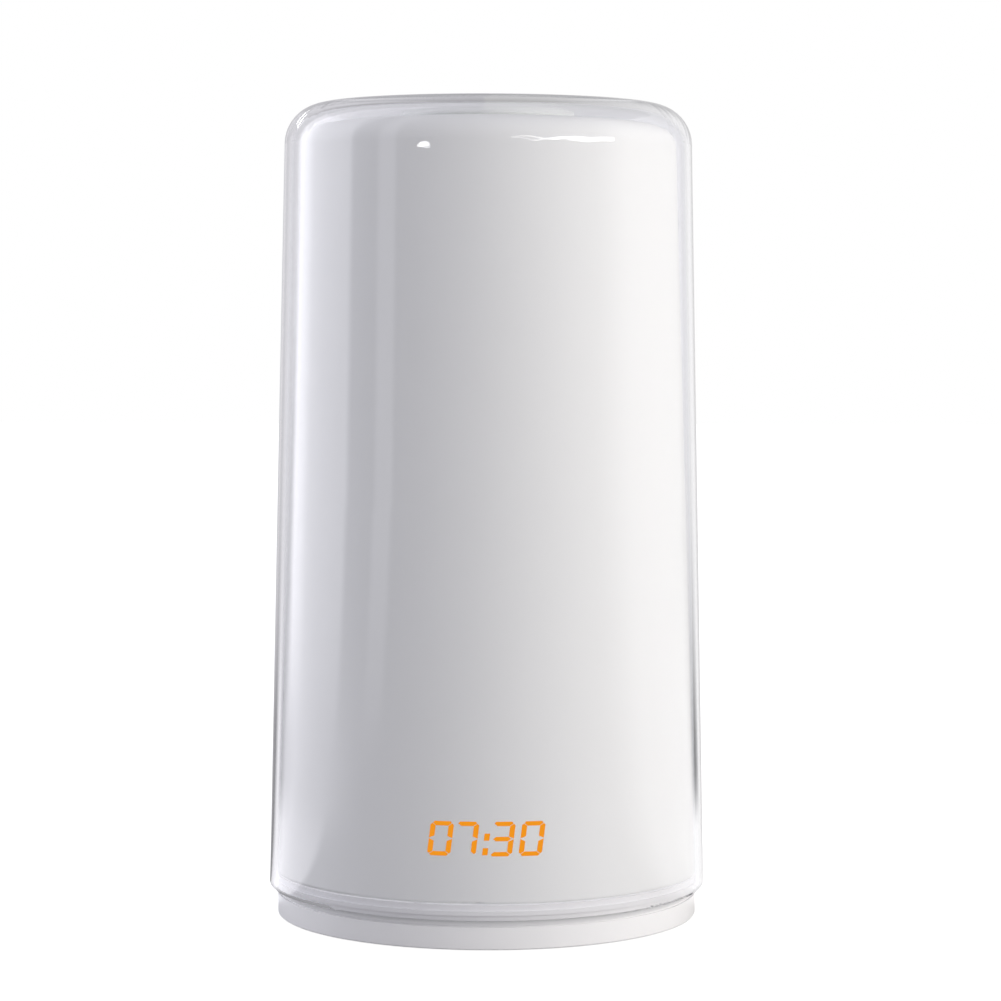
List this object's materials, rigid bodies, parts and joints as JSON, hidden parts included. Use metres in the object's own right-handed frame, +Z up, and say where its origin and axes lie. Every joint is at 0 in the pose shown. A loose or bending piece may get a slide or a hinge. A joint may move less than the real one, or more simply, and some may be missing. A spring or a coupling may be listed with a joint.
{
  "type": "sunrise alarm clock",
  "caption": "Sunrise alarm clock: a tapered clear cover over a white diffuser and light column, orange time digits low on the front, push keys in the flat top.",
  "frame": {"origin": "on the table under the middle of the lamp", "axes": "+Z up, the display faces -Y, +X to the right of someone who reads the time"},
  "size_m": [0.12, 0.12, 0.2239],
  "materials": {
    "clear_acrylic": "clear, glossy",
    "opal_plastic": "opal, satin",
    "white_plastic": "semi-gloss",
    "pale_grey_plastic": "satin",
    "black_plastic": "matt",
    "clear_light_guide": "clear, lit orange",
    "unlit_light_guide": "clear, unlit",
    "circuit_board": "solder mask",
    "white_strip": "matt white",
    "led_yellow": "yellow phosphor",
    "led_orange": "orange",
    "aluminium": "anodised",
    "zinc_steel": "zinc plated",
    "nickel": "nickel plated",
    "brass": "machined",
    "ferrite": "sintered",
    "paper_cone": "pressed paper",
    "capacitor_sleeve": "sleeved",
    "chip_epoxy": "moulded",
    "connector_nylon": "moulded",
    "ribbon": "flat cable",
    "silicone": "moulded",
    "foot_rubber": "matt"
  },
  "bodies": {
    "lamp": {"outer_cover": "clear_acrylic", "diffuser": "opal_plastic", "base_housing": "white_plastic", "base_deck": "pale_grey_plastic", "inlet_pocket": "white_plastic", "plate_standoffs": "brass", "board_standoffs": "brass", "chassis_nuts": "zinc_steel", "bottom_plate": "white_plastic", "rubber_feet": "foot_rubber", "housing_screws": "zinc_steel", "chassis": "pale_grey_plastic", "chassis_screws": "zinc_steel", "reflector_disc": "white_plastic", "light_column": "aluminium", "led_strips": "white_strip", "led_chips": "led_yellow", "tie_rod": "zinc_steel", "tie_rod_nuts": "brass", "column_cable": "ribbon", "display_shroud": "pale_grey_plastic", "lit_light_guides": "clear_light_guide", "dark_light_guides": "unlit_light_guide", "display_board": "circuit_board", "display_leds": "led_orange", "display_cable": "ribbon", "main_board": "circuit_board", "board_screws": "zinc_steel", "board_chips": "chip_epoxy", "board_capacitors": "capacitor_sleeve", "board_connectors": "connector_nylon", "power_inlet": "black_plastic", "inlet_pin": "nickel", "speaker_basket": "zinc_steel", "speaker_cone": "paper_cone", "speaker_magnet": "ferrite", "speaker_grille": "zinc_steel", "battery_cup": "black_plastic", "coin_cell": "nickel", "cell_contacts": "brass", "control_housing": "pale_grey_plastic", "spacer_ring": "silicone", "control_board": "circuit_board", "key_guide": "pale_grey_plastic", "control_bezel": "white_plastic", "control_screws": "zinc_steel", "snooze_dome": "silicone", "plus_dome": "silicone", "minus_dome": "silicone", "alarm_dome": "silicone", "time_dome": "silicone"},
    "snooze": {"snooze_button": "white_plastic"},
    "cap": {"battery_cap": "white_plastic"},
    "plus": {"plus_key": "pale_grey_plastic"},
    "minus": {"minus_key": "pale_grey_plastic"},
    "alarm": {"alarm_key": "pale_grey_plastic"},
    "time": {"time_key": "pale_grey_plastic"}
  },
  "joints": [
    {"name": "snooze_press", "type": "slide", "parent": "lamp", "child": "snooze", "axis": [0, 0, -1], "range_m": [0, 0.0008], "stiffness_N_per_m": 1000, "springref_m": -0.0012, "deforming": ["snooze_dome"]},
    {"name": "plus_press", "type": "slide", "parent": "lamp", "child": "plus", "axis": [0, 0, -1], "range_m": [0, 0.0005], "stiffness_N_per_m": 1500, "springref_m": -0.0008, "deforming": ["plus_dome"]},
    {"name": "minus_press", "type": "slide", "parent": "lamp", "child": "minus", "axis": [0, 0, -1], "range_m": [0, 0.0005], "stiffness_N_per_m": 1500, "springref_m": -0.0008, "deforming": ["minus_dome"]},
    {"name": "alarm_press", "type": "slide", "parent": "lamp", "child": "alarm", "axis": [0, 0, -1], "range_m": [0, 0.0005], "stiffness_N_per_m": 1500, "springref_m": -0.0008, "deforming": ["alarm_dome"]},
    {"name": "time_press", "type": "slide", "parent": "lamp", "child": "time", "axis": [0, 0, -1], "range_m": [0, 0.0005], "stiffness_N_per_m": 1500, "springref_m": -0.0008, "deforming": ["time_dome"]},
    {"name": "battery_cap_turn", "type": "hinge", "parent": "lamp", "child": "cap", "pos_m": [-0.031, 0.014, 0.002], "axis": [0, 0, 1], "range_deg": [0, 45]}
  ]
}
